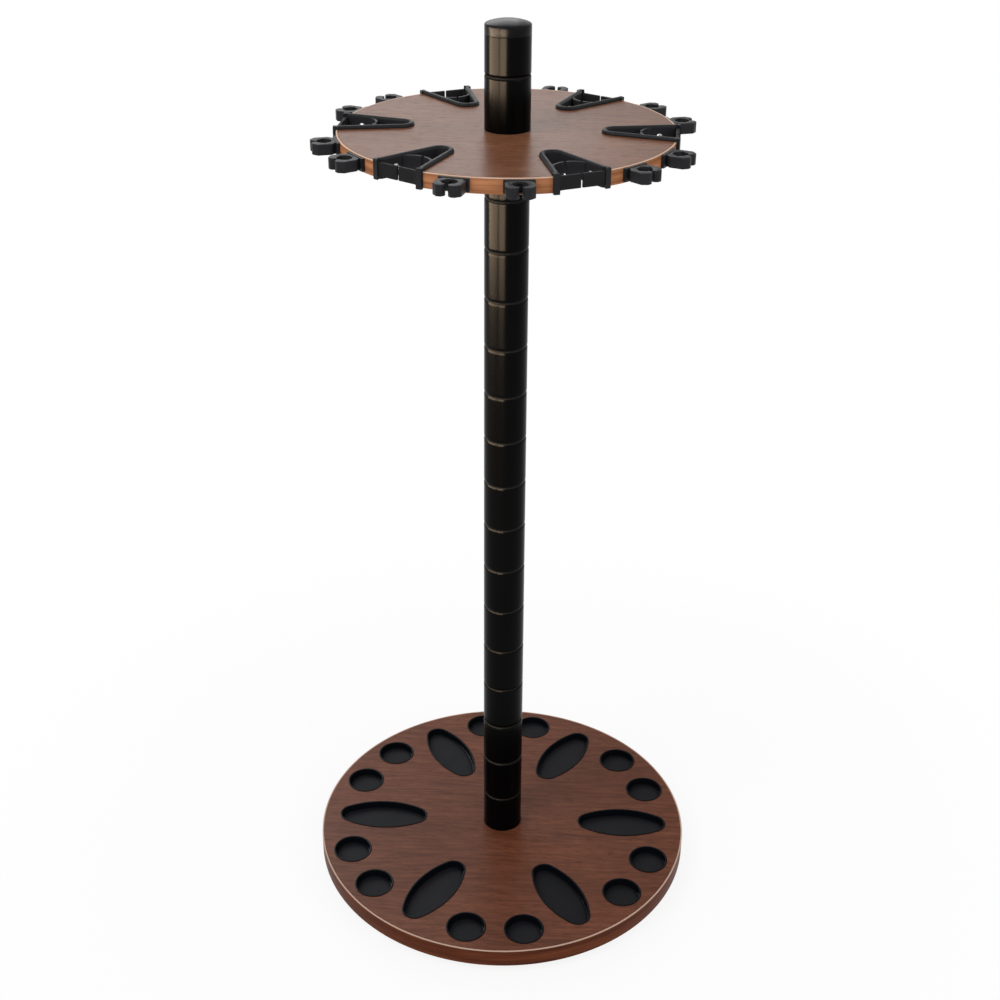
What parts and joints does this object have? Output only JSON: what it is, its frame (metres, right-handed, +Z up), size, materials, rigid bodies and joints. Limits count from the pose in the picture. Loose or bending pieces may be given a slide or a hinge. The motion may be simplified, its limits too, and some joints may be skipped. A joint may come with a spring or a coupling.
{
  "type": "rod rack",
  "caption": "Round floor rack for fishing rods: a base panel with lined butt sockets, a ringed post, and an upper panel with rod clips round its rim.",
  "frame": {"origin": "on the floor, on the axis of the post", "axes": "+Z up along the post; +X through the middle of one two-rod tray; the picture's viewer stands on the -Y side, 2.5 degrees towards +X; the upper panel is turned -4 degrees about +Z against the base"},
  "size_m": [0.3682, 0.3682, 0.8336],
  "materials": {
    "laminate": "satin laminate with a dark walnut figure",
    "edging": "satin edge banding in a reddish walnut",
    "liner": "gloss black moulding",
    "mat": "matt dark grey rubber",
    "post": "gloss black enamel",
    "cap": "satin black moulding",
    "plug": "matt black moulding",
    "clip": "satin black moulding",
    "gate": "matt black soft moulding",
    "foot": "matt black rubber",
    "steel": "bright zinc plating"
  },
  "bodies": {
    "rack": {"base_panel": "laminate", "base_edge_band": "edging", "socket_cups": "liner", "socket_mats": "mat", "slot_tray_1": "liner", "slot_tray_2": "liner", "slot_tray_3": "liner", "slot_tray_4": "liner", "slot_tray_5": "liner", "slot_tray_6": "liner", "slot_mats": "mat", "lower_post": "post", "foot_plug": "plug", "head_plug": "plug", "tie_rod": "steel", "tie_rod_nut": "steel", "tie_rod_washer": "steel", "upper_panel": "laminate", "upper_edge_band": "edging", "upper_post": "post", "threaded_plug": "plug", "post_cap": "cap", "rod_clip_1": "clip", "rod_clip_2": "clip", "rod_clip_3": "clip", "rod_clip_4": "clip", "rod_clip_5": "clip", "rod_clip_6": "clip", "rod_clip_7": "clip", "rod_clip_8": "clip", "rod_clip_9": "clip", "rod_clip_10": "clip", "rod_clip_11": "clip", "rod_clip_12": "clip", "rod_clip_screws": "steel", "dual_clip_1": "clip", "dual_clip_2": "clip", "dual_clip_3": "clip", "dual_clip_4": "clip", "dual_clip_5": "clip", "dual_clip_6": "clip", "dual_clip_screws": "steel", "rubber_feet": "foot", "foot_screws": "steel"},
    "gate_1_left": {"gate_1_left": "gate"},
    "gate_1_right": {"gate_1_right": "gate"},
    "gate_2_left": {"gate_2_left": "gate"},
    "gate_2_right": {"gate_2_right": "gate"},
    "gate_3_left": {"gate_3_left": "gate"},
    "gate_3_right": {"gate_3_right": "gate"},
    "gate_4_left": {"gate_4_left": "gate"},
    "gate_4_right": {"gate_4_right": "gate"},
    "gate_5_left": {"gate_5_left": "gate"},
    "gate_5_right": {"gate_5_right": "gate"},
    "gate_6_left": {"gate_6_left": "gate"},
    "gate_6_right": {"gate_6_right": "gate"}
  },
  "joints": [
    {"name": "gate_1_left_hinge", "type": "hinge", "parent": "rack", "child": "gate_1_left", "pos_m": [0.13681, -0.02754, 0.7402], "axis": [0, 0, 1], "range_deg": [-60, 60], "stiffness_Nm_per_rad": 0.005},
    {"name": "gate_1_right_hinge", "type": "hinge", "parent": "rack", "child": "gate_1_right", "pos_m": [0.13931, 0.00823, 0.7402], "axis": [0, 0, 1], "range_deg": [-60, 60], "stiffness_Nm_per_rad": 0.005},
    {"name": "gate_2_left_hinge", "type": "hinge", "parent": "rack", "child": "gate_2_left", "pos_m": [0.09225, 0.10472, 0.7402], "axis": [0, 0, 1], "range_deg": [-60, 60], "stiffness_Nm_per_rad": 0.005},
    {"name": "gate_2_right_hinge", "type": "hinge", "parent": "rack", "child": "gate_2_right", "pos_m": [0.06253, 0.12476, 0.7402], "axis": [0, 0, 1], "range_deg": [-60, 60], "stiffness_Nm_per_rad": 0.005},
    {"name": "gate_3_left_hinge", "type": "hinge", "parent": "rack", "child": "gate_3_left", "pos_m": [-0.04456, 0.13225, 0.7402], "axis": [0, 0, 1], "range_deg": [-60, 60], "stiffness_Nm_per_rad": 0.005},
    {"name": "gate_3_right_hinge", "type": "hinge", "parent": "rack", "child": "gate_3_right", "pos_m": [-0.07678, 0.11654, 0.7402], "axis": [0, 0, 1], "range_deg": [-60, 60], "stiffness_Nm_per_rad": 0.005},
    {"name": "gate_4_left_hinge", "type": "hinge", "parent": "rack", "child": "gate_4_left", "pos_m": [-0.13681, 0.02754, 0.7402], "axis": [0, 0, 1], "range_deg": [-60, 60], "stiffness_Nm_per_rad": 0.005},
    {"name": "gate_4_right_hinge", "type": "hinge", "parent": "rack", "child": "gate_4_right", "pos_m": [-0.13931, -0.00823, 0.7402], "axis": [0, 0, 1], "range_deg": [-60, 60], "stiffness_Nm_per_rad": 0.005},
    {"name": "gate_5_left_hinge", "type": "hinge", "parent": "rack", "child": "gate_5_left", "pos_m": [-0.09225, -0.10472, 0.7402], "axis": [0, 0, 1], "range_deg": [-60, 60], "stiffness_Nm_per_rad": 0.005},
    {"name": "gate_5_right_hinge", "type": "hinge", "parent": "rack", "child": "gate_5_right", "pos_m": [-0.06253, -0.12476, 0.7402], "axis": [0, 0, 1], "range_deg": [-60, 60], "stiffness_Nm_per_rad": 0.005},
    {"name": "gate_6_left_hinge", "type": "hinge", "parent": "rack", "child": "gate_6_left", "pos_m": [0.04456, -0.13225, 0.7402], "axis": [0, 0, 1], "range_deg": [-60, 60], "stiffness_Nm_per_rad": 0.005},
    {"name": "gate_6_right_hinge", "type": "hinge", "parent": "rack", "child": "gate_6_right", "pos_m": [0.07678, -0.11654, 0.7402], "axis": [0, 0, 1], "range_deg": [-60, 60], "stiffness_Nm_per_rad": 0.005}
  ]
}
